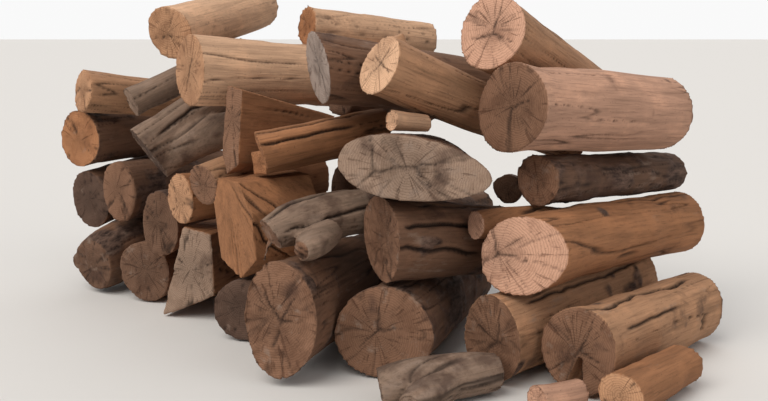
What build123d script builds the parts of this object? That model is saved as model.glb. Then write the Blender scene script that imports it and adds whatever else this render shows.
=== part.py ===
from build123d import *

import os
from dataclasses import dataclass

import numpy as np
from scipy.interpolate import PchipInterpolator
from scipy.spatial import cKDTree

# A loose heap of cut hardwood logs on level ground.
# Millimetres and degrees. +X runs to the right along the heap's front, +Y towards its back, +Z up.
# Every log is one solid. It is drawn lying along +X from its butt at the origin, with +Y to its
# left and +Z up, then turned, put in its place and let down until it rests on what was laid before.

# Driving dimensions of every log's wood
RING_POINTS = 12
RINGS = 9
OVAL = 0.035
THREE_LOBES = 0.022
GIRTH_WANDER = 0.025
BUTT_FLARE = 0.03

# Driving dimensions of how the logs rest on each other
SEAT_GAP = 0.4
CLOSE_BY = 12.0
CLOSE_NEIGHBOURS = 6
COARSE_SPACING = 20.0
FINE_SPACING = 5.0
FAR_REACH = 90.0
NEAR_REACH = 40.0
NEIGHBOURS = 3
START_ABOVE = 40.0
LONGEST_FALL = 60.0
FIRST_ROUNDS = 16
SEARCH_ROUNDS = 3
WORTHWHILE = 0.1
SKIN_TOLERANCE = 0.05
SKIN_ANGLE = 0.12
COARSE_TOLERANCE = 0.5
COARSE_ANGLE = 0.35
SHARP = 0.95
SPREAD = (0.7548776662, 0.5698402910)
SEARCH_STEPS = (2.0, 6.0, 1.0)
SEARCH_LIMITS = (8.0, 10.0, 2.5)
SEARCH_HALVINGS = 4
EDGE_SHARE = 2.0
SAME_DISTANCE = 0.01
TINY = 1e-9
STEEPEST = 0.25


def unit(vector):
    """The vector at length one."""
    return vector / np.linalg.norm(vector)


def outline(seed, share, points=RING_POINTS):
    """Radius factors of one ring: an oval and three soft lobes that turn slowly along the log."""
    chance = np.random.default_rng(seed)
    oval_at, lobes_at, drift = chance.uniform(0, 2 * np.pi, 3)
    angles = np.linspace(0, 2 * np.pi, points, endpoint=False)
    turned = 0.25 * drift * share
    oval = OVAL * np.cos(2 * angles + oval_at + turned)
    lobes = THREE_LOBES * np.cos(3 * angles + lobes_at - turned)
    return angles, 1 + oval + lobes


def ring(centre, along, width, height, seed, share, cut=(0, 0)):
    """One closed smooth section of a log.

    It stands across the direction `along`, `width` by `height`. A saw cut out of square leans it
    by `cut`, the rise along the log for each millimetre to the left and for each millimetre up.
    """
    left = unit(np.cross((0, 0, 1), along))
    up = np.cross(along, left)
    angles, factor = outline(seed, share)
    to_left = 0.5 * width * factor * np.cos(angles)
    to_top = 0.5 * height * factor * np.sin(angles)
    forward = cut[0] * to_left + cut[1] * to_top
    points = centre + np.outer(to_left, left) + np.outer(to_top, up) + np.outer(forward, along)
    return Wire([Edge.make_spline([Vector(*point) for point in points], periodic=True)])


def grown(path, widths, heights, seed, butt_cut=(0, 0), tail_cut=(0, 0)):
    """A round stem or limb through the points of a path, with its width and height at each."""
    given = np.linspace(0, 1, len(path))
    wanted = np.linspace(0, 1, max(RINGS, len(path)))
    path = PchipInterpolator(given, np.array(path, float))(wanted)
    widths = PchipInterpolator(given, widths)(wanted)
    heights = PchipInterpolator(given, heights)(wanted)
    rings = []
    last = len(path) - 1
    for index, centre in enumerate(path):
        along = unit(path[min(index + 1, last)] - path[max(index - 1, 0)])
        cut = {0: butt_cut, last: tail_cut}.get(index, (0, 0))
        rings.append(ring(centre, along, widths[index], heights[index], seed, index / last, cut))
    return Solid.make_loft(rings, ruled=True)


def round_log(length, butt, tail, seed, tall=1.0, bow=(0, 0), butt_cut=(0, 0), tail_cut=(0, 0)):
    """A whole log with the taper, slight bow and slightly uneven girth of a tree's stem.

    `tall` is its height as a share of its width, and `bow` how far its middle stands to the left
    of its ends and above them.
    """
    share = np.linspace(0, 1, RINGS)
    chance = np.random.default_rng(seed + 1000)
    girth = butt + (tail - butt) * share
    girth = girth * (1 + GIRTH_WANDER * chance.uniform(-1, 1, RINGS))
    girth[0] = butt * (1 + BUTT_FLARE)
    arch = 4 * share * (1 - share)
    path = np.column_stack([length * share, bow[0] * arch, bow[1] * arch])
    stretch = np.sqrt(tall)
    return grown(path, girth / stretch, girth * stretch, seed, butt_cut, tail_cut)


def riven(length, corners, tail_share, lean=(0, 0), butt_cut=(0, 0), tail_cut=(0, 0), swell=0.0):
    """A split billet: straight-edged sections from its corners, left and up of its middle.

    The tail is `tail_share` of the butt's size and stands `lean` to the left and up of it, and
    `swell` widens its middle.
    """
    corners = np.array(corners, float)
    sections = []
    for share in (0, 0.45, 1):
        size = 1 + (tail_share - 1) * share + swell * 4 * share * (1 - share)
        cut = {0: butt_cut, 1: tail_cut}.get(share, (0, 0))
        across = corners * size
        forward = length * share + across @ np.array(cut)
        points = [Vector(x, y + lean[0] * share, z + lean[1] * share)
                  for x, (y, z) in zip(forward, across)]
        sections.append(Wire.make_polygon(points, close=True))
    return Solid.make_loft(sections, ruled=True)


def joined(*pieces):
    """Limbs and knobs of one tree fused into a single solid."""
    whole = pieces[0].fuse(*pieces[1:])
    return whole.solids()[0]


def notched(log, place, size, turn):
    """A log with a wedge broken out of it. The wedge's edge lies along X, at `place`."""
    reach, width, depth = size
    wedge = Solid.make_loft([
        Wire.make_polygon([Vector(x, 0, 0), Vector(x, depth, -width / 2), Vector(x, depth, width / 2)],
                          close=True)
        for x in (-reach, reach)
    ], ruled=True)
    return log.cut(wedge.rotate(Axis.X, turn).moved(Location(place))).solids()[0]


# The logs with a shape of their own

def pear_crotch():
    """A short piece sawn through a fork: two rings grown into one pear-shaped face."""
    rings = []
    sizes = PchipInterpolator((0, 200, 400, 560), ((226, 118, 232, 44), (226, 110, 196, 34),
                                                   (206, 120, 130, 14), (198, 130, 80, 4)))
    for x in np.linspace(0, 560, RINGS):
        big, small, apart, drop = sizes(x)
        angle = np.linspace(0, 2 * np.pi, 16, endpoint=False)
        toward_small = 0.5 * (1 - np.cos(angle))
        radius = 0.5 * (big + (small - big) * toward_small ** 1.4)
        y = radius * np.cos(angle) + apart * (0.42 - toward_small)
        z = radius * np.sin(angle) * (1 - 0.10 * np.sin(angle) ** 2) - drop * toward_small
        rings.append(Wire([Edge.make_spline([Vector(x, *pair) for pair in zip(y, z)], periodic=True)]))
    return Solid.make_loft(rings, ruled=True)


def forked_grey():
    """A fork: a tall flat stem with one limb climbing away and one going off to the right."""
    climbing = grown([(0, 0, 0), (130, 10, 40), (280, 30, 105), (450, 60, 150), (620, 80, 180)],
                     (120, 128, 128, 122, 112), (205, 200, 158, 128, 116), 61, butt_cut=(0.2, -0.25))
    level = grown([(60, 0, -5), (180, -50, 22), (300, -120, 42), (420, -200, 50)],
                  (110, 130, 120, 112), (150, 130, 114, 106), 62)
    return joined(climbing, level)


def branched_log():
    """A log with the stub of a side branch beside its butt."""
    stem = round_log(820, 214, 190, 71, bow=(8, 6), butt_cut=(-0.42, 0.04))
    stub = grown([(260, 55, 45), (120, 112, 62), (-10, 158, 62)], (112, 98, 84), (110, 100, 88), 72)
    return joined(stem, stub)


def gnarled_root():
    """A twisted root: a ragged flat body, a round knob at the front and a hanging splinter."""
    body = grown([(0, 0, 0), (120, 8, 18), (260, -12, 22), (420, -30, 12), (560, -40, 0)],
                 (120, 150, 142, 130, 105), (92, 130, 138, 120, 92), 81, butt_cut=(0.3, -0.3))
    knob = grown([(150, -60, -8), (60, -112, -22), (15, -128, -26)], (100, 92, 58), (98, 90, 58), 82)
    splinter = grown([(60, 45, -5), (30, 62, -52), (22, 70, -92)], (34, 20, 7), (30, 18, 7), 83)
    return joined(body, knob, splinter)


def knobbly_stump():
    """A short stump end with swollen burls."""
    body = grown([(0, 0, 0), (110, 0, 6), (260, -6, 4), (430, -10, 0)],
                 (176, 216, 210, 180), (184, 222, 214, 184), 91, butt_cut=(0.15, 0.1))
    burl = grown([(130, 40, 10), (70, 84, -6), (30, 102, -12)], (100, 84, 54), (96, 84, 52), 92)
    return joined(body, burl)


def pale_fork():
    """A weathered fork lying flat: a broad foot with two short arms."""
    arm = grown([(0, 50, 0), (100, 26, 10), (210, 0, 6), (320, -10, 0)],
                (105, 124, 132, 112), (106, 124, 130, 110), 101, butt_cut=(0.2, 0))
    other = grown([(160, -20, 4), (80, -60, 4), (0, -104, -6)], (104, 98, 84), (98, 90, 78), 102)
    return joined(arm, other)


def stubbed_log():
    """A light log with the cut stub of a twig on top, close to its butt."""
    stem = round_log(780, 166, 142, 111, tall=1.06, bow=(6, -8), butt_cut=(0.05, 0.02))
    stub = grown([(60, 5, 60), (48, 8, 88), (40, 10, 101)], (46, 40, 34), (46, 40, 34), 112)
    return joined(stem, stub)


@dataclass
class Log:
    """A log's name, its butt's place, its heading and slope in degrees, and its solid."""

    name: str
    place: tuple
    heading: float
    slope: float
    solid: Solid


def heap_logs():
    """Every log in laying order, from the ground up."""
    ground = [
        Log("front_split_face_log", (502, -852, 120), 48, 0,
            notched(round_log(660, 226, 206, 1, butt_cut=(-0.05, 0.03)), (0, -12, 8), (60, 70, 170), -80)),
        Log("front_irregular_end_log", (285, -765, 125), 48, 0,
            round_log(760, 222, 220, 2, tall=1.22, butt_cut=(0.1, -0.06))),
        Log("front_round_face_log", (-2, -725, 132), 70, 0,
            round_log(740, 266, 236, 3, tall=0.96, butt_cut=(-0.03, 0.05))),
        Log("front_notched_face_log", (-252, -795, 165), 74, 0,
            notched(round_log(800, 257, 222, 4, tall=1.62), (0, 45, 110), (70, 60, 140), 55)),
        Log("front_pale_bottom_log", (570, -1036, 65), 52, 0, round_log(360, 126, 116, 5)),
        Log("front_weathered_fork", (10, -975, 60), 30, 0, pale_fork()),
        Log("front_short_offcut", (372, -1010, 45), 32, 0, round_log(150, 84, 78, 6)),
        Log("under_split_grain_log", (-430, -400, 95), 72, 0, round_log(720, 188, 170, 8)),
        Log("left_split_wedge", (-625, -170, 165), 72, 0,
            riven(660, ((25, 160), (-85, 145), (-95, -60), (30, -120), (112, -150)), 0.9, butt_cut=(0.1, 0))),
        Log("left_ground_log", (-820, 40, 105), 68, 0, round_log(660, 204, 186, 7, bow=(8, 0))),
        Log("left_knobbly_stump", (-1023, 141, 95), 62, 0, knobbly_stump()),
        Log("rear_left_ground_log", (-943, 583, 85), 60, 0, round_log(500, 172, 150, 10)),
    ]
    second = [
        Log("branched_orange_log", (352, -770, 380), 45, 0, branched_log()),
        Log("broken_block_log", (-17, -688, 390), 40, 0,
            round_log(480, 242, 214, 13, butt_cut=(0.35, -0.15))),
        Log("gnarled_root", (-312, -650, 410), 35, 0, gnarled_root()),
        Log("left_tall_face_log", (-750, -40, 300), 72, 0, round_log(660, 176, 160, 14, tall=1.6)),
        Log("left_oval_face_log", (-940, 190, 310), 66, 0, round_log(660, 176, 160, 15, tall=1.5)),
        Log("left_dark_end_log", (-1068, 300, 290), 62, 0, round_log(640, 190, 170, 16, tall=1.2)),
        Log("split_grain_log", (-455, -400, 350), 30, 0,
            riven(250, ((95, 60), (50, 150), (-70, 150), (-130, 60), (-130, -80), (-30, -155), (85, -110)),
                  0.92, butt_cut=(-0.1, 0))),
        Log("second_row_hidden_log", (-320, -90, 290), 70, 0, round_log(540, 180, 160, 17)),
        Log("second_row_right_hidden_log", (60, -190, 330), 58, 0, round_log(520, 180, 164, 18)),
    ]
    third = [
        Log("thin_face_log", (-650, -150, 440), 40, 0, round_log(560, 164, 150, 22)),
        Log("short_dark_face_log", (-552, -300, 440), 58, 0, round_log(440, 124, 116, 23, tall=1.1)),
        Log("pear_crotch_log", (70, -800, 600), 84, -3, pear_crotch()),
        Log("shaded_filler_log", (425, -640, 550), 46, 0, round_log(700, 146, 130, 21)),
        Log("crumbly_end_log", (-1105, 300, 500), 55, 0, round_log(720, 206, 180, 24)),
        Log("forked_grey_log", (-765, -95, 520), 40, 0, forked_grey()),
        Log("third_row_hidden_log", (-90, -200, 480), 58, 0, round_log(560, 176, 160, 26)),
        Log("third_row_right_hidden_log", (350, -390, 540), 80, 0, round_log(420, 96, 88, 41)),
    ]
    fourth = [
        Log("broken_fibre_end_log", (-355, -505, 610), 28, 0,
            round_log(420, 116, 104, 28, butt_cut=(0.3, -0.2))),
        Log("split_slab", (-448, -350, 650), 52, 0,
            riven(440, ((38, 144), (-34, 132), (-42, -96), (8, -130), (40, -60)), 0.6)),
        Log("small_left_log", (-1070, 250, 670), 33, 0, round_log(680, 156, 138, 29)),
        Log("top_right_big_log", (330, -680, 745), 38, -6, round_log(640, 242, 230, 30, butt_cut=(-0.05, 0))),
        Log("squared_billet", (-362, -408, 680), 40, 0,
            riven(480, ((44, 30), (-40, 44), (-44, -34), (36, -44)), 0.95)),
        Log("fourth_row_hidden_log", (-120, -300, 700), 52, 0, round_log(440, 112, 100, 42)),
        Log("small_pale_lump", (24, -662, 800), 40, 0, round_log(130, 62, 54, 33)),
        Log("big_pale_log", (-600, -200, 790), 30, 3, round_log(800, 226, 200, 31)),
        Log("weathered_limb", (-870, 110, 730), 25, 14, round_log(460, 112, 100, 32)),
    ]
    top = [
        Log("stubbed_light_log", (-8, -655, 830), 38, -11, stubbed_log()),
        Log("diagonal_cut_log", (-205, -490, 885), 34, 0,
            round_log(780, 200, 178, 36, butt_cut=(0.3, -0.35))),
        Log("top_left_log", (-700, 0, 940), 64, 0, round_log(600, 172, 156, 37)),
        Log("rear_pale_log", (-250, 60, 980), 34, 0, round_log(500, 130, 116, 38)),
        Log("top_right_log", (295, -600, 975), 58, -10, round_log(880, 204, 178, 39)),
    ]
    return ground + second + third + fourth + top


# Laying the logs down

def skin(solid, spacing, tolerance=SKIN_TOLERANCE, angle=SKIN_ANGLE):
    """Points spread over a solid's surface and its edges, each with its direction and facet."""
    corners, faces = solid.tessellate(tolerance, angle)
    corners = np.array([tuple(corner) for corner in corners])
    first, second, third = corners[np.array(faces)].transpose(1, 0, 2)
    normals = np.cross(second - first, third - first)
    doubled = np.linalg.norm(normals, axis=1)
    normals = normals / np.maximum(doubled, TINY)[:, None]
    counts = 1 + (0.5 * doubled / spacing ** 2).astype(int)
    owner = np.repeat(np.arange(len(faces)), counts)
    step = np.arange(len(owner))
    u, v = (step * SPREAD[0]) % 1, (step * SPREAD[1]) % 1
    folded = u + v > 1
    u, v = np.where(folded, 1 - u, u), np.where(folded, 1 - v, v)
    spots = first[owner] + (second - first)[owner] * u[:, None] + (third - first)[owner] * v[:, None]
    faces = np.array(faces)
    ends = np.sort(np.stack([faces, np.roll(faces, -1, axis=1)]).reshape(2, -1), axis=0)
    order = np.lexsort(ends)
    paired = (np.diff(ends[:, order]) == 0).all(axis=0)
    level = (normals[order[:-1] // 3] * normals[order[1:] // 3]).sum(axis=1) > SHARP
    smooth = np.zeros(ends.shape[1], bool)
    smooth[order[:-1][paired & level]] = True
    smooth[order[1:][paired & level]] = True
    rim = np.flatnonzero(~smooth)
    start = corners[faces.reshape(-1)[rim]]
    side = corners[np.roll(faces, -1, axis=1).reshape(-1)[rim]] - start
    counts = 1 + (np.linalg.norm(side, axis=1) / spacing).astype(int)
    edge = np.repeat(np.arange(len(side)), counts)
    step = np.arange(len(edge)) - np.repeat(np.cumsum(counts) - counts, counts)
    along = start[edge] + side[edge] * (step / counts[edge])[:, None]
    owner = np.concatenate([owner, rim[edge] // 3])
    triangles = np.stack([first, second, third], axis=1)
    return np.vstack([spots, along]), normals[owner], triangles[owner]


def axes_of(heading, slope):
    """The log's forward, left and up directions, as the columns of a matrix."""
    heading, slope = np.radians((heading, slope))
    forward = np.array([np.cos(heading) * np.cos(slope), np.sin(heading) * np.cos(slope), np.sin(slope)])
    left = np.array([-np.sin(heading), np.cos(heading), 0])
    return np.column_stack([forward, left, np.cross(forward, left)])


class Heap:
    """The logs laid so far, as points on their surfaces."""

    def __init__(self):
        self.skins = []

    def near(self, low, high):
        """The laid logs' points within a box, as a search tree, with their directions and facets."""
        spots, facing, facets = [np.empty((0, 3))], [np.empty((0, 3))], [np.empty((0, 3, 3))]
        for points, normals, triangles in self.skins:
            inside = np.all((points > low) & (points < high), axis=1)
            spots.append(points[inside])
            facing.append(normals[inside])
            facets.append(triangles[inside])
        spots = np.vstack(spots)
        return cKDTree(spots) if len(spots) else None, spots, np.vstack(facing), np.vstack(facets)


def rough_gap(points, index, distance, spots, facing):
    """The points' distance from the flat faces at their nearest neighbours, and how level those are."""
    gap = np.einsum("ikj,ikj->ik", points[:, None] - spots[index], facing[index])
    nearest = np.arange(len(gap)), gap.argmax(axis=1)
    gap, distance, upward = gap[nearest], distance[nearest], facing[index][nearest][:, 2]
    aside = np.sqrt(np.maximum(distance ** 2 - gap ** 2, 0))
    return np.where(aside > EDGE_SHARE * FINE_SPACING, distance, gap), upward


def exact_gap(points, index, distance, facing, facets):
    """The same from the facets themselves, edges and corners included. Inside a log it is negative."""
    near = distance[:, 0] < CLOSE_BY
    points, index = points[near, None], index[near]
    first, second, third = np.moveaxis(facets[index], 2, 0)
    normal = facing[index]
    rise = ((points - first) * normal).sum(axis=-1)
    to_edge = np.full(rise.shape, np.inf)
    over = np.ones(rise.shape, bool)
    for start, end in ((first, second), (second, third), (third, first)):
        side, away = end - start, points - start
        share = (away * side).sum(axis=-1) / np.maximum((side * side).sum(axis=-1), TINY)
        to_side = away - np.clip(share, 0, 1)[..., None] * side
        to_edge = np.minimum(to_edge, np.linalg.norm(to_side, axis=-1))
        over &= (np.cross(side, away) * normal).sum(axis=-1) >= 0
    apart = np.where(over, np.abs(rise), to_edge)
    least = apart.min(axis=1)
    outside = np.where(apart < least[:, None] + SAME_DISTANCE, rise, -np.inf).max(axis=1) > 0
    upward = normal[np.arange(len(least)), apart.argmin(axis=1), 2]
    return np.where(outside, least, -least), upward


def let_down(points, around, rounds, reach, exact=False, lowest=None):
    """How far the points must move straight up to rest just clear of the heap and the ground."""
    tree, spots, facing, facets = around
    lowest = points[:, 2].min() if lowest is None else lowest
    neighbours = CLOSE_NEIGHBOURS if exact else NEIGHBOURS
    lift = 0.0
    for _ in range(rounds):
        moved = points + (0, 0, lift)
        room = min(lowest + lift, CLOSE_BY / 2 if exact else LONGEST_FALL)
        if tree is not None:
            distance, index = tree.query(moved, k=neighbours, distance_upper_bound=reach, workers=-1)
            close = np.isfinite(distance[:, -1])
            moved, distance, index = moved[close], distance[close], index[close]
            if exact:
                gap, upward = exact_gap(moved, index, distance, facing, facets)
            else:
                gap, upward = rough_gap(moved, index, distance, spots, facing)
            gap = gap - SEAT_GAP
            bears = (upward > STEEPEST) | (gap < 0)
            if bears.any():
                room = min(room, (gap[bears] / np.maximum(upward[bears], STEEPEST)).min())
        lift -= room
        if abs(room) < 0.01:
            break
    return lift


def seat(log, heap):
    """Let a log down and turn, tip and slide it a little until its middle lies lowest."""
    coarse, coarse_normals, _ = skin(log.solid, COARSE_SPACING, COARSE_TOLERANCE, COARSE_ANGLE)
    fine, fine_normals, facets = skin(log.solid, FINE_SPACING)
    middle = fine.mean(axis=0)
    place = np.array(log.place, float)
    span = np.linalg.norm(fine, axis=1).max() + FAR_REACH
    pose_axes = axes_of(log.heading, log.slope)
    coarse = coarse[(coarse_normals @ pose_axes.T)[:, 2] < 0.35]
    centre = place + pose_axes @ middle
    around = heap.near(centre - span * 0.62, centre + span * 0.62)

    def posed(points, pose, lift):
        slope, slide, turn = pose
        axes = axes_of(log.heading + turn, log.slope + slope)
        shift = place + slide * axes[:, 1]
        return (points - middle) @ axes.T + pose_axes @ middle + shift + (0, 0, lift)

    pose = np.zeros(3)
    best = START_ABOVE + let_down(posed(coarse, pose, START_ABOVE), around, FIRST_ROUNDS, FAR_REACH)
    steps = np.array(SEARCH_STEPS)
    limits = np.array(SEARCH_LIMITS)
    for _ in range(SEARCH_HALVINGS):
        improved = True
        while improved:
            improved = False
            for axis in range(3):
                for sign in (1, -1):
                    trial = pose.copy()
                    trial[axis] = np.clip(trial[axis] + sign * steps[axis], -limits[axis], limits[axis])
                    result = best + let_down(posed(coarse, trial, best), around, SEARCH_ROUNDS, NEAR_REACH)
                    if result < best - WORTHWHILE:
                        best, pose, improved = result, trial, True
        steps = steps / 2
    lift = best + let_down(posed(fine, pose, best), around, FIRST_ROUNDS, NEAR_REACH)
    down = posed(fine, pose, lift)
    lowest = down[:, 2].min()
    if around[0] is not None:
        down = down[around[0].query(down, distance_upper_bound=2 * CLOSE_BY, workers=-1)[0] < np.inf]
    if len(down):
        lift += let_down(down, around, FIRST_ROUNDS, CLOSE_BY, exact=True, lowest=lowest)
    slope, slide, turn = pose
    axes = axes_of(log.heading + turn, log.slope + slope)
    origin = posed(np.zeros((1, 3)), pose, lift)[0]
    corners = posed(facets.reshape(-1, 3), pose, lift).reshape(-1, 3, 3)
    heap.skins.append((posed(fine, pose, lift), fine_normals @ axes.T, corners))
    plane = Plane(origin=Vector(*origin), x_dir=Vector(*axes[:, 0]), z_dir=Vector(*axes[:, 2]))
    return log.solid.moved(plane.location), pose, lift


def build_heap():
    """Lay every log, then put the heap's origin under the middle of its box."""
    heap = Heap()
    laid = {}
    for log in heap_logs():
        solid, pose, lift = seat(log, heap)
        print(f"{log.name:26s} lift {lift:6.1f} slope {log.slope + pose[0]:6.1f} "
              f"slide {pose[1]:5.1f} turn {pose[2]:5.1f}")
        laid[log.name] = solid
    boxes = [solid.bounding_box() for solid in laid.values()]
    low = np.min([tuple(box.min) for box in boxes], axis=0)
    high = np.max([tuple(box.max) for box in boxes], axis=0)
    middle = (low + high) / 2
    down = Location((-middle[0], -middle[1], -low[2]))
    return {name: solid.moved(down) for name, solid in laid.items()}, high - low


if __name__ == "__main__":
    logs, size = build_heap()
    print("heap size", size.round(1))
    os.makedirs("parts", exist_ok=True)
    for name, solid in logs.items():
        export_step(solid, f"parts/{name}.step")
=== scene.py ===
"""Looks for a loose heap of cut hardwood logs: worn and split surfaces, ring-marked ends, weathering."""
import math

import bpy
import numpy as np
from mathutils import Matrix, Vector


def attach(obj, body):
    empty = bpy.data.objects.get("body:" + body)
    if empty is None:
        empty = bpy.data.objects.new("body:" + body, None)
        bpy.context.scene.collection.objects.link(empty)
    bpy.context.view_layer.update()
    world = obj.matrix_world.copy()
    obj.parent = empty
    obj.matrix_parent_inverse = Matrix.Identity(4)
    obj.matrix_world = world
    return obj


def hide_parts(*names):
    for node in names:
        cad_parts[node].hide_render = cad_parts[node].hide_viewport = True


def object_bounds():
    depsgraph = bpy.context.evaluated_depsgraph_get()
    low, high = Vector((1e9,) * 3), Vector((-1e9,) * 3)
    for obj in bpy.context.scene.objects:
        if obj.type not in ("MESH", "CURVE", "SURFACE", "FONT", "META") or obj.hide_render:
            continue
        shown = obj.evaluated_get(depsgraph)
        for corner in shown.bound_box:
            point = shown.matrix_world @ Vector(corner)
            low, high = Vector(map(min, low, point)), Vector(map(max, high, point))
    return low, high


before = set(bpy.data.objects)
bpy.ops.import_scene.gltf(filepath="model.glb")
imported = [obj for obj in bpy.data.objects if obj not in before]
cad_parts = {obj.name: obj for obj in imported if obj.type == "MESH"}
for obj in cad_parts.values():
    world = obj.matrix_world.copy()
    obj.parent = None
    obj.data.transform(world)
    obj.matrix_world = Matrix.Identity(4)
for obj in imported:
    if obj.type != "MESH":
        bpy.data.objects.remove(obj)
cad_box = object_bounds()
low_corner, high_corner = np.array(cad_box[0]), np.array(cad_box[1])


def linear(red, green, blue):
    """A colour given in 0 to 255 display values, as the shader's own linear values."""
    display = np.array((red, green, blue)) / 255
    return (*np.where(display <= 0.04045, display / 12.92, ((display + 0.055) / 1.055) ** 2.4), 1.0)


# Colours of the wood; DARK and UMBER also stand in as painted shade on logs that lie in shadow
PALE, TAN, ORANGE = linear(208, 168, 136), linear(176, 134, 102), linear(160, 112, 78)
BROWN, GREY, DARK = linear(124, 92, 72), linear(158, 142, 132), linear(88, 68, 57)
PINK, MAUVE, UMBER = linear(190, 148, 124), linear(142, 119, 102), linear(104, 78, 62)

# Each log: record slot, side colour, end colour, kind of end, weathering and bark left on as shares,
# depth of its drying cracks in mm, and width of its mesh's squares in mm
LOOKS = {
    "front_split_face_log": ("orange_wood", TAN, BROWN, "sawn", 0.45, 0.10, 7, 6.0),
    "front_irregular_end_log": ("brown_wood", TAN, BROWN, "crumbly", 0.45, 0.20, 5, 6.0),
    "front_round_face_log": ("brown_wood", BROWN, BROWN, "sawn", 0.55, 0.35, 5, 6.0),
    "front_notched_face_log": ("brown_wood", BROWN, BROWN, "broken", 0.45, 0.25, 5, 6.0),
    "front_pale_bottom_log": ("pale_wood", ORANGE, TAN, "sawn", 0.30, 0.05, 4, 8.8),
    "front_weathered_fork": ("grey_wood", MAUVE, MAUVE, "broken", 0.80, 0.10, 4, 6.0),
    "front_short_offcut": ("pale_wood", PINK, PINK, "broken", 0.30, 0.05, 4, 5.8),
    # under_split_grain_log lies in shadow under the split-grain log: its DARK sides and end are painted
    # shade
    "under_split_grain_log": ("brown_wood", DARK, DARK, "sawn", 0.40, 0.40, 4, 10.8),
    "left_split_wedge": ("orange_wood", ORANGE, MAUVE, "sawn", 0.35, 0.05, 5, 8.1),
    "left_ground_log": ("brown_wood", BROWN, UMBER, "crumbly", 0.45, 0.30, 5, 9.5),
    "left_knobbly_stump": ("brown_wood", BROWN, UMBER, "broken", 0.50, 0.35, 5, 9.5),
    "rear_left_ground_log": ("brown_wood", BROWN, UMBER, "sawn", 0.45, 0.30, 4, 12.2),
    "branched_orange_log": ("orange_wood", ORANGE, PINK, "sawn", 0.30, 0.08, 7, 6.0),
    "broken_block_log": ("grey_wood", BROWN, BROWN, "broken", 0.50, 0.15, 8, 6.0),
    "gnarled_root": ("grey_wood", MAUVE, BROWN, "broken", 0.60, 0.20, 8, 5.8),
    "left_tall_face_log": ("brown_wood", BROWN, UMBER, "crumbly", 0.40, 0.30, 5, 9.5),
    "left_oval_face_log": ("brown_wood", BROWN, BROWN, "sawn", 0.35, 0.30, 4, 9.5),
    # left_dark_end_log's DARK end is painted shade on a face that lies in shadow
    "left_dark_end_log": ("brown_wood", BROWN, DARK, "crumbly", 0.35, 0.30, 4, 9.5),
    "split_grain_log": ("orange_wood", ORANGE, ORANGE, "split", 0.20, 0.05, 7, 5.8),
    "second_row_hidden_log": ("brown_wood", BROWN, UMBER, "sawn", 0.45, 0.40, 4, 12.2),
    "second_row_right_hidden_log": ("brown_wood", BROWN, UMBER, "sawn", 0.45, 0.40, 4, 12.2),
    "thin_face_log": ("orange_wood", ORANGE, TAN, "sawn", 0.25, 0.10, 5, 8.1),
    "short_dark_face_log": ("orange_wood", TAN, BROWN, "sawn", 0.35, 0.15, 4, 8.1),
    "pear_crotch_log": ("grey_wood", BROWN, MAUVE, "sawn", 0.65, 0.30, 6, 6.0),
    # shaded_filler_log's UMBER side is painted shade on a log that lies in shadow
    "shaded_filler_log": ("brown_wood", UMBER, BROWN, "sawn", 0.50, 0.40, 4, 10.8),
    "crumbly_end_log": ("orange_wood", BROWN, ORANGE, "crumbly", 0.30, 0.25, 5, 8.8),
    "forked_grey_log": ("grey_wood", MAUVE, DARK, "broken", 0.60, 0.10, 6, 6.0),
    "third_row_hidden_log": ("brown_wood", BROWN, UMBER, "sawn", 0.45, 0.40, 4, 12.2),
    "third_row_right_hidden_log": ("brown_wood", BROWN, UMBER, "sawn", 0.45, 0.30, 4, 12.2),
    "broken_fibre_end_log": ("orange_wood", ORANGE, ORANGE, "broken", 0.25, 0.10, 9, 5.8),
    "split_slab": ("orange_wood", ORANGE, BROWN, "split", 0.25, 0.08, 6, 6.0),
    "small_left_log": ("pale_wood", TAN, TAN, "sawn", 0.35, 0.12, 4, 8.1),
    "top_right_big_log": ("pale_wood", PINK, BROWN, "sawn", 0.22, 0.06, 4, 6.0),
    "squared_billet": ("orange_wood", ORANGE, ORANGE, "split", 0.20, 0.05, 7, 5.8),
    "fourth_row_hidden_log": ("brown_wood", BROWN, UMBER, "sawn", 0.45, 0.30, 4, 10.8),
    "small_pale_lump": ("pale_wood", PALE, PALE, "broken", 0.20, 0.00, 3, 4.0),
    "big_pale_log": ("pale_wood", PALE, TAN, "sawn", 0.25, 0.06, 4, 6.0),
    "weathered_limb": ("grey_wood", MAUVE, MAUVE, "broken", 0.60, 0.10, 5, 8.1),
    "stubbed_light_log": ("pale_wood", TAN, PALE, "sawn", 0.30, 0.08, 4, 6.0),
    "diagonal_cut_log": ("pale_wood", BROWN, GREY, "split", 0.45, 0.15, 6, 6.0),
    "top_left_log": ("pale_wood", PALE, TAN, "sawn", 0.30, 0.08, 4, 8.8),
    "rear_pale_log": ("pale_wood", PALE, ORANGE, "sawn", 0.30, 0.08, 4, 9.5),
    "top_right_log": ("pale_wood", TAN, PINK, "sawn", 0.20, 0.05, 4, 6.0),
}

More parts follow.
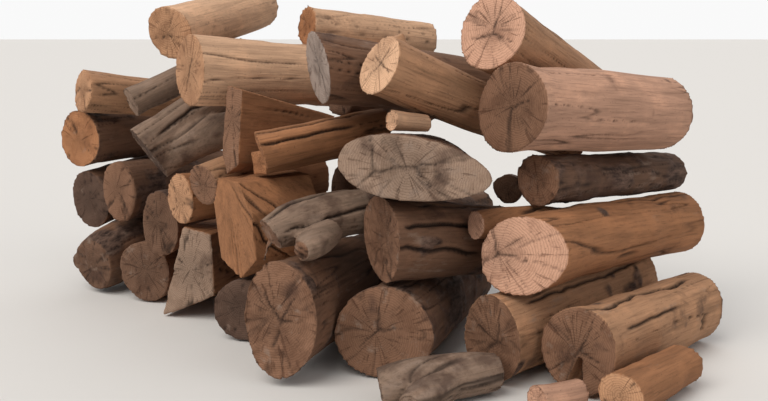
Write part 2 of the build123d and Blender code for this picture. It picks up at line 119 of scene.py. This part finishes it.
# Long splits on a side: turn in degrees (0 is to the right, 90 on top), start and end along the log
# from -1 at its front, depth and half-width in mm
SPLITS = {
    "front_split_face_log": [(104, -1.0, 0.75, 16, 5), (62, -0.9, 0.95, 12, 4), (150, -0.7, 0.3, 9, 4)],
    "branched_orange_log": [(70, -0.7, 0.9, 13, 5), (110, -0.2, 1.0, 10, 4), (28, -0.5, 0.6, 12, 6)],
    "broken_block_log": [(150, -0.9, 0.6, 16, 6), (100, -0.6, 0.9, 14, 5), (195, -1.0, 0.2, 14, 6)],
    "gnarled_root": [(60, -0.9, 0.8, 12, 4), (120, -0.8, 0.9, 12, 4), (20, -0.9, 0.4, 10, 4)],
    "split_grain_log": [(160, -1.0, 0.9, 9, 3), (200, -1.0, 0.7, 10, 3), (80, -0.9, 0.9, 9, 3)],
    "broken_fibre_end_log": [(100, -1.0, 0.6, 14, 4), (150, -1.0, 0.4, 14, 4), (60, -1.0, 0.8, 12, 4)],
    "front_irregular_end_log": [(70, -1.0, 0.5, 12, 5), (120, -0.8, 0.9, 9, 4)],
    "pear_crotch_log": [(-60, -1.0, 0.8, 10, 5), (-100, -1.0, 0.6, 8, 4)],
    "forked_grey_log": [(80, -0.8, 0.8, 9, 4), (130, -0.8, 0.5, 9, 4)],
    "top_right_log": [(95, -0.9, 0.5, 5, 3)],
    "stubbed_light_log": [(60, -1.0, 0.3, 7, 3), (110, -0.6, 0.8, 6, 3)],
    "diagonal_cut_log": [(80, -0.8, 0.9, 9, 4)],
    "big_pale_log": [(100, -0.8, 0.4, 6, 3)],
}

# Cracks across a front end: lines between points given in shares of the log's radius, right and up
FACE_CRACKS = {
    "front_notched_face_log": [((-0.1, 0.7), (0.05, 0.15)), ((0.05, 0.15), (-0.35, -0.5)),
                               ((0.05, 0.15), (0.5, 0.1)), ((0.05, 0.15), (0.35, -0.4))],
    "front_round_face_log": [((0, 0), (-0.45, 0.35)), ((0, 0), (0.4, -0.1)), ((0, 0), (0.0, -0.6))],
    "top_right_log": [((0.05, 0.1), (-0.8, 0.35)), ((0.05, 0.1), (0.2, -0.9)),
                      ((0.05, 0.1), (0.75, 0.35))],
    "top_right_big_log": [((0, 0.1), (-0.1, 0.95)), ((0, 0.1), (0.55, -0.2))],
    "stubbed_light_log": [((0.05, 0), (0.75, 0.35)), ((0.05, 0), (0.3, -0.75)), ((0.05, 0), (-0.5, 0.5)),
                          ((0.05, 0), (-0.6, -0.35))],
    "branched_orange_log": [((0, 0.1), (-0.5, 0.6)), ((0, 0.1), (0.7, 0.2)), ((0, 0.1), (-0.2, -0.7))],
    "front_split_face_log": [((0.1, 0), (0.8, 0.25)), ((0.1, 0), (0.45, -0.8)), ((0.1, 0), (-0.3, 0.5))],
    "front_irregular_end_log": [((-0.2, 0.3), (0.4, -0.1)), ((0.1, 0.1), (0.2, -0.7)),
                                ((-0.5, -0.2), (0.1, 0.1))],
    "diagonal_cut_log": [((-0.1, 0.2), (0.3, 0.9)), ((-0.1, 0.2), (-0.3, -0.8))],
    "pear_crotch_log": [((-0.7, 0.1), (0.9, -0.15)), ((-0.7, 0.1), (-1.2, 0.5)),
                        ((-0.7, 0.1), (-0.8, -0.6)), ((0.2, 0), (0.6, 0.45))],
    "big_pale_log": [((0, 0), (-0.3, 0.8)), ((0, 0), (0.3, -0.6))],
    "top_left_log": [((0, 0), (-0.6, 0.3)), ((0, 0), (0.5, 0.5))],
}

# How far each kind of end is eaten into, in metres, and how fine its lumps are, per metre
END_DEPTH = {"sawn": 0.0012, "split": 0.004, "crumbly": 0.010, "broken": 0.013}
END_GRAIN = {"sawn": 30.0, "split": 45.0, "crumbly": 42.0, "broken": 60.0}

# Depths of the relief, in metres
BARK_THICKNESS = 0.0025
FIBRE_RELIEF = 0.0018
DENT_DEPTH = 0.006
SAW_MARK_DEPTH = 0.0004
END_CHECK_DEPTH = 0.004
MILLIMETRE = 0.001

# How fine each effect is, per metre along the log and across it
FIBRE_ALONG, FIBRE_ACROSS = 7, 150
CRACK_ALONG, CRACK_ACROSS = 1.6, 26
DENTS_FINENESS, CRACK_PATCHES, BARK_FINENESS = 9, 6, 11
SAW_MARKS = 900

# A surface counts as an end where it faces along the log by this much, near the log's own end
END_FACING, END_BLEND, END_REACH = 0.55, 0.3, 0.55
CRACK_WIDTH = 0.045
CHECK_WIDTH = 0.05
RING_SPACING = 0.0065
GRAIN_RELIEF = 0.0022
WOOD_ROUGHNESS = 0.86


def lattice(cell, seed):
    """A random value from 0 to 1 for each whole-numbered cell, the same on every run."""
    spread = cell @ np.array((374761393, 668265263, 1440662683)) + seed * 974634777
    spread = spread & 0xFFFFFFFF
    spread = ((spread ^ (spread >> 13)) * 1274126177) & 0xFFFFFFFF
    return ((spread ^ (spread >> 16)) & 0xFFFFFF) / 0xFFFFFF


def noise(points, seed):
    """Smooth noise from -1 to 1: lattice values blended by 3f^2 - 2f^3 between the cell's corners."""
    cell = np.floor(points).astype(np.int64)
    part = points - cell
    part = part * part * (3 - 2 * part)
    total = np.zeros(len(points))
    for corner in np.ndindex(2, 2, 2):
        weight = np.prod(np.where(np.array(corner) == 1, part, 1 - part), axis=1)
        total += weight * lattice(cell + np.array(corner), seed)
    return 2 * total - 1


def layered(points, seed, layers=3):
    """Noise summed over layers, each twice as fine and half as strong."""
    total = sum(noise(points * 2 ** k, seed + k) / 2 ** k for k in range(layers))
    return total / (2 - 2 / 2 ** layers)


def arrays(mesh):
    """A mesh's points and their outward directions."""
    points = np.empty(len(mesh.vertices) * 3, np.float32)
    mesh.vertices.foreach_get("co", points)
    normals = np.empty(len(mesh.vertices) * 3, np.float32)
    mesh.vertex_normals.foreach_get("vector", normals)
    return points.reshape(-1, 3).astype(float), normals.reshape(-1, 3).astype(float)


def log_frame(points):
    """A log's middle and its along, across and up directions, from the spread of its points."""
    middle = (points.min(axis=0) + points.max(axis=0)) / 2
    centred = points - points.mean(axis=0)
    along = np.linalg.eigh(centred.T @ centred)[1][:, -1]
    along = along * np.sign(along[1] + 1e-6)
    across = np.cross((0, 0, 1), along)
    across = across / np.linalg.norm(across)
    return middle, np.stack([along, across, np.cross(along, across)])


def long_splits(name, local, turn, half, girth, seed):
    """How deep, in metres, the log's splits cut.

    Each is depth * exp(-(arc from the split / half-width)^2), faded at its start and end, and the
    split's turn wanders along the log by smooth noise.
    """
    depth = np.zeros(len(local))
    share = local[:, 0] / half
    for number, (angle, start, end, deep, wide) in enumerate(SPLITS.get(name, ())):
        course = np.column_stack([share * 3, share * 0, share * 0])
        wander = 0.16 * layered(course + number, seed + 90, 3)
        off = turn - math.radians(angle) - wander
        arc = np.abs(np.arctan2(np.sin(off), np.cos(off))) * girth
        inside = np.clip((share - start) * 8, 0, 1) * np.clip((end - share) * 5, 0, 1)
        cut = deep * MILLIMETRE * inside * np.exp(-(arc / (wide * MILLIMETRE)) ** 2)
        depth = np.maximum(depth, cut)
    return depth


def face_lines(name, across, seed):
    """1 on the cracks of a front end and 0 away from them, by the distance to each bent line."""
    nearest = np.full(len(across), np.inf)
    flat = np.column_stack([across * 5, across[:, 0] * 0])
    bent = across + 0.07 * np.column_stack([layered(flat, seed + 95), layered(flat, seed + 96)])
    for first, second in FACE_CRACKS.get(name, ()):
        first, second = np.array(first), np.array(second)
        way = second - first
        share = np.clip((bent - first) @ way / (way @ way), 0, 1)
        taper = 1.3 - share
        away = np.linalg.norm(bent - first - share[:, None] * way, axis=1)
        nearest = np.minimum(nearest, away / taper)
    return np.clip(1 - nearest / CHECK_WIDTH, 0, 1)


def voxelled(node, voxel):
    """The node's own surface as an even mesh of squares, `voxel` metres wide."""
    source = bpy.data.objects.new("even_surface", node.data.copy())
    bpy.context.scene.collection.objects.link(source)
    even = source.modifiers.new("even", "REMESH")
    even.mode = "VOXEL"
    even.voxel_size = voxel
    even.use_smooth_shade = True
    bpy.context.view_layer.update()
    shaped = source.evaluated_get(bpy.context.evaluated_depsgraph_get())
    mesh = bpy.data.meshes.new_from_object(shaped)
    bpy.data.objects.remove(source)
    return mesh


def worn_log(name, seed):
    """A log as years outdoors leave it.

    The even surface P(i) moves inward by d(i) along its normal: long dents, fibre ridges that run
    along the log, drying cracks where a stretched noise crosses zero, stripped bark, and on the
    ends radial checks, saw marks, lumps or torn fibres as its end was cut, broken or rotted.
    """
    slot, side_colour, end_colour, kind, weather, bark_left, crack_mm, voxel_mm = LOOKS[name]
    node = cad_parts[name]
    coarse = 1.0
    mesh = voxelled(node, voxel_mm * MILLIMETRE * coarse)
    points, normals = arrays(mesh)
    middle, axes = log_frame(points)
    local = (points - middle) @ axes.T
    facing = normals @ axes.T
    radius = np.hypot(local[:, 1], local[:, 2])
    girth = np.median(radius)
    turn = np.arctan2(local[:, 2], local[:, 1])
    half = np.abs(local[:, 0]).max()
    facing_out = np.clip((np.abs(facing[:, 0]) - END_FACING) / END_BLEND, 0, 1)
    at_end = facing_out * (np.abs(local[:, 0]) > END_REACH * half)

    around = np.column_stack([np.cos(turn), np.sin(turn)]) * girth
    stretched = np.column_stack([local[:, 0] * CRACK_ALONG, around * CRACK_ACROSS])
    fibres = np.column_stack([local[:, 0] * FIBRE_ALONG, around * FIBRE_ACROSS])
    fibre = 0.5 + 0.5 * layered(fibres, seed + 10, 3)
    dents = np.clip(layered(local * DENTS_FINENESS, seed + 20, 2), 0, 1)
    drying = np.abs(layered(stretched, seed + 30, 2))
    cracked_here = np.clip(noise(local * CRACK_PATCHES, seed + 40) * 2 + 0.7, 0, 1)
    crack = np.clip(1 - drying / CRACK_WIDTH, 0, 1) * cracked_here
    bark = np.clip((layered(local * BARK_FINENESS, seed + 50, 3) + 2.2 * bark_left - 0.75) * 6, 0, 1)
    split = long_splits(name, local, turn, half, girth, seed)
    side_depth = (BARK_THICKNESS * (1 - bark) + FIBRE_RELIEF * fibre + DENT_DEPTH * dents
                  + np.maximum(crack_mm * MILLIMETRE * crack, split))

    ends = local[:, 1:] / girth
    spokes = np.column_stack([np.cos(turn) * 2.2, np.sin(turn) * 2.2, radius * 3])
    from_pith = np.clip((radius / girth - 0.08) * 4, 0, 1)
    check = np.clip(1 - np.abs(layered(spokes, seed + 60, 2)) / CHECK_WIDTH, 0, 1) * from_pith
    if name in FACE_CRACKS:
        front = np.where(local[:, 0] < 0, 1.0, 0.0)
        check = np.maximum(0.6 * check, front * face_lines(name, -ends, seed))
    grain = END_GRAIN[kind]
    lumps = 0.5 + 0.5 * layered(local * (grain * 0.35, grain, grain), seed + 70, 3)
    saw = 0.5 + 0.5 * np.sin((ends[:, 0] * 0.35 + ends[:, 1]) * girth * SAW_MARKS)
    end_depth = END_DEPTH[kind] * lumps + SAW_MARK_DEPTH * saw + END_CHECK_DEPTH * check

    depth = side_depth * (1 - at_end) + end_depth * at_end
    worn = points - normals * depth[:, None]
    worn = np.clip(worn, low_corner, high_corner)
    mesh.vertices.foreach_set("co", worn.astype(np.float32).ravel())

    # Where cracks, splits and end checks get painted shade in the material; deeper splits are shaded
    # darker
    crack_shade_mask = np.maximum(crack, np.clip(split / 0.006, 0, 1)) * (1 - at_end) + check * at_end
    for label, values in (("end", at_end), ("bark", bark * (1 - at_end)), ("crack", crack_shade_mask),
                          ("fibre", fibre)):
        attribute = mesh.attributes.new(label, "FLOAT", "POINT")
        attribute.data.foreach_set("value", values.astype(np.float32))
    placed = mesh.attributes.new("in_log", "FLOAT_VECTOR", "POINT")
    pith = np.array((0.037 * seed, 0.09 * girth * math.sin(seed), 0.09 * girth * math.cos(seed)))
    placed.data.foreach_set("vector", (local + pith).astype(np.float32).ravel())
    mesh.update()

    piece = bpy.data.objects.new("worn_" + name, mesh)
    bpy.context.scene.collection.objects.link(piece)
    mesh.materials.clear()
    mesh.materials.append(log_material(name, side_colour, end_colour, weather, girth))
    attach(piece, "root")
    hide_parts(name)
    return piece


# Shader helpers

def add(tree, kind, values=None, **settings):
    """A new node with its settings. Each value is set on its input, or linked if it is a socket."""
    node = tree.nodes.new(kind)
    for key, value in settings.items():
        setattr(node, key, value)
    for key, value in (values or {}).items():
        if isinstance(value, bpy.types.NodeSocket):
            tree.links.new(value, node.inputs[key])
        else:
            node.inputs[key].default_value = value
    return node


def maths(tree, operation, first, second=0.5):
    """One sum on two values or sockets."""
    return add(tree, "ShaderNodeMath", {0: first, 1: second}, operation=operation).outputs[0]


def times(tree, first, second):
    """Two values multiplied."""
    return maths(tree, "MULTIPLY", first, second)


def plus(tree, first, second):
    """Two values added."""
    return maths(tree, "ADD", first, second)


def mixed(tree, share, first, second, blend="MIX"):
    """Two colours mixed by a share."""
    values = {0: share, 6: first, 7: second}
    return add(tree, "ShaderNodeMix", values, data_type="RGBA", blend_type=blend).outputs[2]


def stepped(tree, value, start, end):
    """0 below start, 1 above end, and even between them."""
    values = {"Value": value, "From Min": start, "From Max": end}
    return add(tree, "ShaderNodeMapRange", values, clamp=True).outputs["Result"]


def masked(tree, share, value, start, end):
    """A share of a stepped value."""
    return times(tree, stepped(tree, value, start, end), share)


def scaled(tree, vector, scale):
    """A position with each axis multiplied."""
    node = add(tree, "ShaderNodeVectorMath", {0: vector, 1: scale}, operation="MULTIPLY")
    return node.outputs[0]


def noisy(tree, vector, scale, detail=4.0, roughness=0.6):
    """Smooth noise at a scale."""
    values = {"Vector": vector, "Scale": scale, "Detail": detail, "Roughness": roughness}
    return add(tree, "ShaderNodeTexNoise", values).outputs[0]


def new_group(name, inputs, outputs):
    """An empty shader group with named sockets, and its inside input and output nodes."""
    tree = bpy.data.node_groups.new(name, "ShaderNodeTree")
    for label, kind, value in inputs:
        socket = tree.interface.new_socket(label, in_out="INPUT", socket_type=kind)
        if value is not None:
            socket.default_value = value
    for label, kind in outputs:
        tree.interface.new_socket(label, in_out="OUTPUT", socket_type=kind)
    return tree, tree.nodes.new("NodeGroupInput").outputs, tree.nodes.new("NodeGroupOutput").inputs


FLOAT, COLOUR, VECTOR = "NodeSocketFloat", "NodeSocketColor", "NodeSocketVector"


def side_grain_group():
    """Long fibres, streaks and blotches of a log's barkless side."""
    tree, given, made = new_group(
        "Side Grain",
        [("Position", VECTOR, None), ("Wood", COLOUR, TAN), ("Streak", COLOUR, DARK)],
        [("Colour", COLOUR), ("Height", FLOAT)])
    fine = noisy(tree, scaled(tree, given["Position"], (5, 110, 110)), 1.6, 6)
    wide = noisy(tree, scaled(tree, given["Position"], (2.2, 22, 22)), 1.3, 4)
    blotch = noisy(tree, given["Position"], 9.0, 5)
    colour = mixed(tree, masked(tree, 0.6, wide, 0.45, 0.72), given["Wood"], given["Streak"])
    light = mixed(tree, 1.0, colour, (1.45, 1.4, 1.35, 1), "MULTIPLY")
    colour = mixed(tree, masked(tree, 0.55, blotch, 0.5, 0.68), colour, light)
    colour = mixed(tree, masked(tree, 0.5, fine, 0.52, 0.66), colour, given["Streak"])
    tree.links.new(colour, made["Colour"])
    tree.links.new(plus(tree, fine, times(tree, wide, 0.7)), made["Height"])
    return tree


def end_grain_group():
    """Growth rings round the pith, rays and fine checks of a cross-cut end."""
    tree, given, made = new_group(
        "End Grain",
        [("Position", VECTOR, None), ("Heart", COLOUR, BROWN), ("Sapwood", COLOUR, TAN),
         ("Ring Spacing", FLOAT, 0.006), ("Radius", FLOAT, 0.1)],
        [("Colour", COLOUR), ("Height", FLOAT)])
    flat = scaled(tree, given["Position"], (0, 1, 1))
    spread = scaled(tree, given["Position"], (0.3, 1, 1))
    wobble = noisy(tree, spread, 14.0, 3)
    out = add(tree, "ShaderNodeVectorMath", {0: flat}, operation="LENGTH").outputs["Value"]
    bent = plus(tree, out, times(tree, wobble, 0.03))
    ring_turn = maths(tree, "DIVIDE", times(tree, bent, 2 * math.pi), given["Ring Spacing"])
    rings = maths(tree, "SINE", ring_turn)
    parts = add(tree, "ShaderNodeSeparateXYZ", {0: given["Position"]}).outputs
    turn = maths(tree, "ARCTAN2", parts[2], parts[1])
    round_it = {0: times(tree, maths(tree, "SINE", turn), 9.0),
                1: times(tree, maths(tree, "COSINE", turn), 9.0),
                2: plus(tree, parts[0], times(tree, out, 12.0))}
    spokes = add(tree, "ShaderNodeCombineXYZ", round_it).outputs[0]
    rays = noisy(tree, spokes, 1.0, 5)
    fleck = noisy(tree, spread, 240.0, 3)
    stain = noisy(tree, spread, 11.0, 5, 0.65)
    heart = stepped(tree, maths(tree, "DIVIDE", bent, given["Radius"]), 0.45, 0.95)
    colour = mixed(tree, heart, given["Heart"], given["Sapwood"])
    darker = mixed(tree, 1.0, colour, (0.42, 0.36, 0.33, 1), "MULTIPLY")
    colour = mixed(tree, masked(tree, 0.38, rings, 0.1, 1.0), colour, darker)
    colour = mixed(tree, masked(tree, 0.7, rays, 0.58, 0.66), colour, darker)
    colour = mixed(tree, masked(tree, 0.35, fleck, 0.55, 0.7), colour, darker)
    colour = mixed(tree, masked(tree, 0.45, stain, 0.48, 0.62), colour, darker)
    tree.links.new(colour, made["Colour"])
    height = maths(tree, "SUBTRACT", times(tree, rings, -0.12), stepped(tree, rays, 0.58, 0.66))
    tree.links.new(plus(tree, height, times(tree, fleck, 0.5)), made["Height"])
    return tree


def weathering_group():
    """Grey weathering, damp dark patches and dark specks laid over the wood."""
    tree, given, made = new_group(
        "Weathering",
        [("Position", VECTOR, None), ("Wood", COLOUR, TAN), ("Amount", FLOAT, 0.4)],
        [("Colour", COLOUR)])
    patch = noisy(tree, scaled(tree, given["Position"], (5, 16, 16)), 1.4, 6, 0.65)
    edge = maths(tree, "SUBTRACT", 0.74, times(tree, given["Amount"], 0.34))
    grey = stepped(tree, patch, edge, plus(tree, edge, 0.14))
    colour = mixed(tree, times(tree, grey, 0.62), given["Wood"], linear(146, 126, 112))
    damp = noisy(tree, given["Position"], 7.0, 5, 0.6)
    wet = stepped(tree, damp, edge, plus(tree, edge, 0.1))
    colour = mixed(tree, times(tree, wet, 0.6), colour, linear(70, 50, 42))
    specks = noisy(tree, given["Position"], 190.0, 2)
    colour = mixed(tree, masked(tree, 0.5, specks, 0.66, 0.7), colour, linear(66, 48, 40))
    tree.links.new(colour, made["Colour"])
    return tree


def bark_group():
    """Flaky dark bark that clings in patches."""
    tree, given, made = new_group(
        "Bark", [("Position", VECTOR, None)], [("Colour", COLOUR), ("Height", FLOAT)])
    plates = noisy(tree, scaled(tree, given["Position"], (14, 40, 40)), 1.5, 6, 0.7)
    colour = mixed(tree, stepped(tree, plates, 0.35, 0.7), linear(52, 38, 32), linear(124, 98, 84))
    tree.links.new(colour, made["Colour"])
    tree.links.new(times(tree, plates, 2.0), made["Height"])
    return tree


GROUPS = {
    "side": side_grain_group(),
    "end": end_grain_group(),
    "weather": weathering_group(),
    "bark": bark_group(),
}


def placed_group(tree, which, values):
    """One of the shared groups placed in a material."""
    return add(tree, "ShaderNodeGroup", values, node_tree=GROUPS[which]).outputs


def log_material(name, side_colour, end_colour, weather, girth):
    """One log's wood: grain on its side, rings on its ends, bark and weathering over both, and painted
    shade darkening its cracks.
    """
    material = bpy.data.materials.new(name + "_wood")
    material.use_nodes = True
    tree = material.node_tree
    surface = tree.nodes["Principled BSDF"]
    where = add(tree, "ShaderNodeAttribute", attribute_name="in_log").outputs["Vector"]
    masks = {}
    for mask in ("end", "bark", "crack", "fibre"):
        masks[mask] = add(tree, "ShaderNodeAttribute", attribute_name=mask).outputs["Fac"]
    streak = tuple(0.45 * c for c in side_colour[:3]) + (1.0,)
    side = placed_group(tree, "side", {"Position": where, "Wood": side_colour, "Streak": streak})
    sap = tuple(min(1.0, 1.25 * c) for c in end_colour[:3]) + (1.0,)
    ends = placed_group(tree, "end", {"Position": where, "Heart": end_colour, "Sapwood": sap,
                                      "Ring Spacing": RING_SPACING, "Radius": float(girth)})
    ridged = mixed(tree, masked(tree, 0.35, masks["fibre"], 0.45, 0.75), side["Colour"], streak)
    bark = placed_group(tree, "bark", {"Position": where})
    coated = mixed(tree, masks["bark"], ridged, bark["Colour"])
    wood = mixed(tree, masks["end"], coated, ends["Colour"])
    aged = placed_group(tree, "weather", {"Position": where, "Wood": wood, "Amount": float(weather)})
    # Painted shade: cracks, splits and end checks darkened towards near-black
    dark = mixed(tree, times(tree, masks["crack"], 0.85), aged["Colour"], linear(34, 24, 20))
    tree.links.new(dark, surface.inputs["Base Color"])
    surface.inputs["Roughness"].default_value = WOOD_ROUGHNESS
    surface.inputs["Specular IOR Level"].default_value = 0.25
    side_height = plus(tree, side["Height"], times(tree, masks["bark"], bark["Height"]))
    heights = {0: masks["end"], 2: side_height, 3: ends["Height"]}
    height = add(tree, "ShaderNodeMix", heights, data_type="FLOAT").outputs[0]
    bump = add(tree, "ShaderNodeBump", {"Height": height, "Distance": GRAIN_RELIEF, "Strength": 0.8})
    tree.links.new(bump.outputs[0], surface.inputs["Normal"])
    return material


for number, log_name in enumerate(LOOKS):
    worn_log(log_name, 100 * number)


# Floor, light and camera

def pale_floor():
    """A plain pale floor under the heap."""
    mesh = bpy.data.meshes.new("floor")
    reach = 30.0
    corners = [(-reach, -reach, 0), (reach, -reach, 0), (reach, reach, 0), (-reach, reach, 0)]
    mesh.from_pydata(corners, [], [(0, 1, 2, 3)])
    floor = bpy.data.objects.new("floor", mesh)
    bpy.context.scene.collection.objects.link(floor)
    material = bpy.data.materials.new("floor_paint")
    material.use_nodes = True
    surface = material.node_tree.nodes["Principled BSDF"]
    surface.inputs["Base Color"].default_value = (0.72, 0.71, 0.69, 1)
    surface.inputs["Roughness"].default_value = 0.9
    mesh.materials.append(material)
    floor.location.z = float(low_corner[2])


def soft_light(name, place, softness, strength, colour):
    """Even light from a wide part of the sky, shining from a place towards the heap's middle."""
    lamp = bpy.data.lights.new(name, "SUN")
    lamp.angle = math.radians(softness)
    lamp.energy = strength
    lamp.color = colour
    holder = bpy.data.objects.new(name, lamp)
    bpy.context.scene.collection.objects.link(holder)
    holder.location = place
    holder.rotation_euler = (-Vector(place)).to_track_quat("-Z", "Y").to_euler()


def pale_world():
    """An even white background that also fills the shadows."""
    world = bpy.data.worlds.new("studio")
    bpy.context.scene.world = world
    world.use_nodes = True
    tree = world.node_tree
    tree.nodes.clear()
    seen = add(tree, "ShaderNodeLightPath").outputs["Is Camera Ray"]
    light = add(tree, "ShaderNodeBackground", {"Color": (0.96, 0.97, 1.0, 1), "Strength": 0.38})
    back = add(tree, "ShaderNodeBackground", {"Color": (0.95, 0.95, 0.95, 1), "Strength": 1.0})
    both = add(tree, "ShaderNodeMixShader", {0: seen, 1: light.outputs[0], 2: back.outputs[0]})
    out = add(tree, "ShaderNodeOutputWorld")
    tree.links.new(both.outputs[0], out.inputs[0])


pale_floor()
pale_world()
soft_light("key", (-2.4, -2.6, 4.0), 50, 2.2, (1.0, 0.95, 0.89))
soft_light("fill", (3.2, -3.0, 1.8), 70, 0.5, (1.0, 0.95, 0.9))
soft_light("back", (0.5, 3.2, 3.0), 60, 0.7, (1.0, 0.97, 0.94))

camera = bpy.data.objects.new("camera", bpy.data.cameras.new("camera"))
bpy.context.scene.collection.objects.link(camera)
camera.data.lens = 50.0
camera.data.sensor_width = 36.0
camera.location = (0.0814, -3.4853, 1.0)
camera.rotation_euler = (math.radians(90 - 10.3), 0, 0)
bpy.context.scene.camera = camera
bpy.context.scene.view_settings.view_transform = "Standard"
